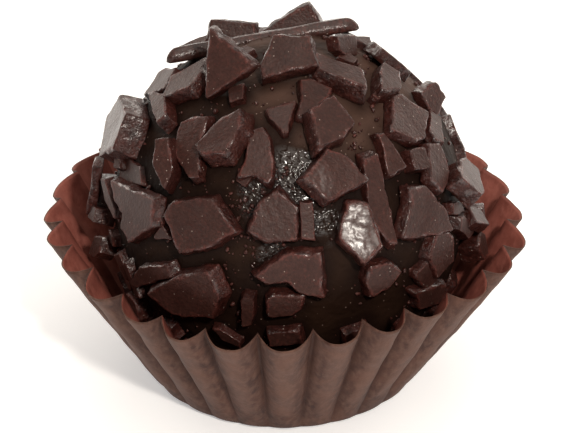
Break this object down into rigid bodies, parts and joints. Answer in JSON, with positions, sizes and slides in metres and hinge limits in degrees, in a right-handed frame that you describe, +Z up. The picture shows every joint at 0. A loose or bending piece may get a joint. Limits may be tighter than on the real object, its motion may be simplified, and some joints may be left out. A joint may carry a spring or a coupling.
{
  "type": "brigadeiro",
  "caption": "A brigadeiro, a round chocolate fudge sweet rolled in broken chocolate shards, sitting in a pleated brown paper case",
  "frame": {"origin": "the middle of the underside of the paper case, on the surface it stands on", "axes": "+X to the right of the front, +Y to the back, +Z up"},
  "size_m": [0.0458, 0.0458, 0.037],
  "materials": {
    "chocolate": "dark fudge coated with broken chocolate, satin flat faces and glossier broken edges",
    "case_paper": "thin matt brown greaseproof paper, slightly translucent, redder inside"
  },
  "bodies": {
    "root": {"ball": "chocolate", "paper_case": "case_paper"}
  },
  "joints": []
}
